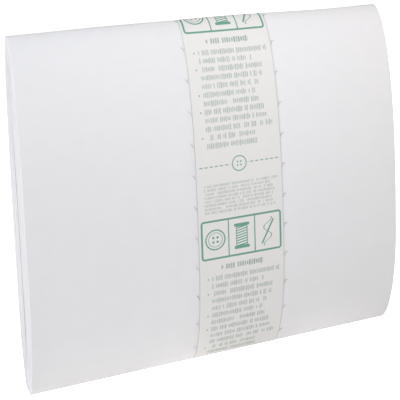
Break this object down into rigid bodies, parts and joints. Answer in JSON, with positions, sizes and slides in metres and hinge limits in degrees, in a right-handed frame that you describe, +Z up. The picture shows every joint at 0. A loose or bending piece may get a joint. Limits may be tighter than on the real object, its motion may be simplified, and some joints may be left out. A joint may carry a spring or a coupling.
{
  "type": "roll of stiff interfacing",
  "caption": "Flat-wound roll of stiff white interfacing with a printed paper strip wrapped round it, standing on its long rounded edge.",
  "frame": {"origin": "centre of the whole part's footprint, on the surface that it stands on", "axes": "+X along the winding axis, from the slanting end to the square end; +Y towards the back, where the loose end is; +Z up"},
  "size_m": [0.52, 0.0874, 0.4484],
  "materials": {
    "interfacing": "matt nonwoven felt of pressed white fibres",
    "strip_paper": "thin soft paper printed in green"
  },
  "bodies": {
    "root": {"interfacing_roll": "interfacing", "printed_strip": "strip_paper"}
  },
  "joints": []
}
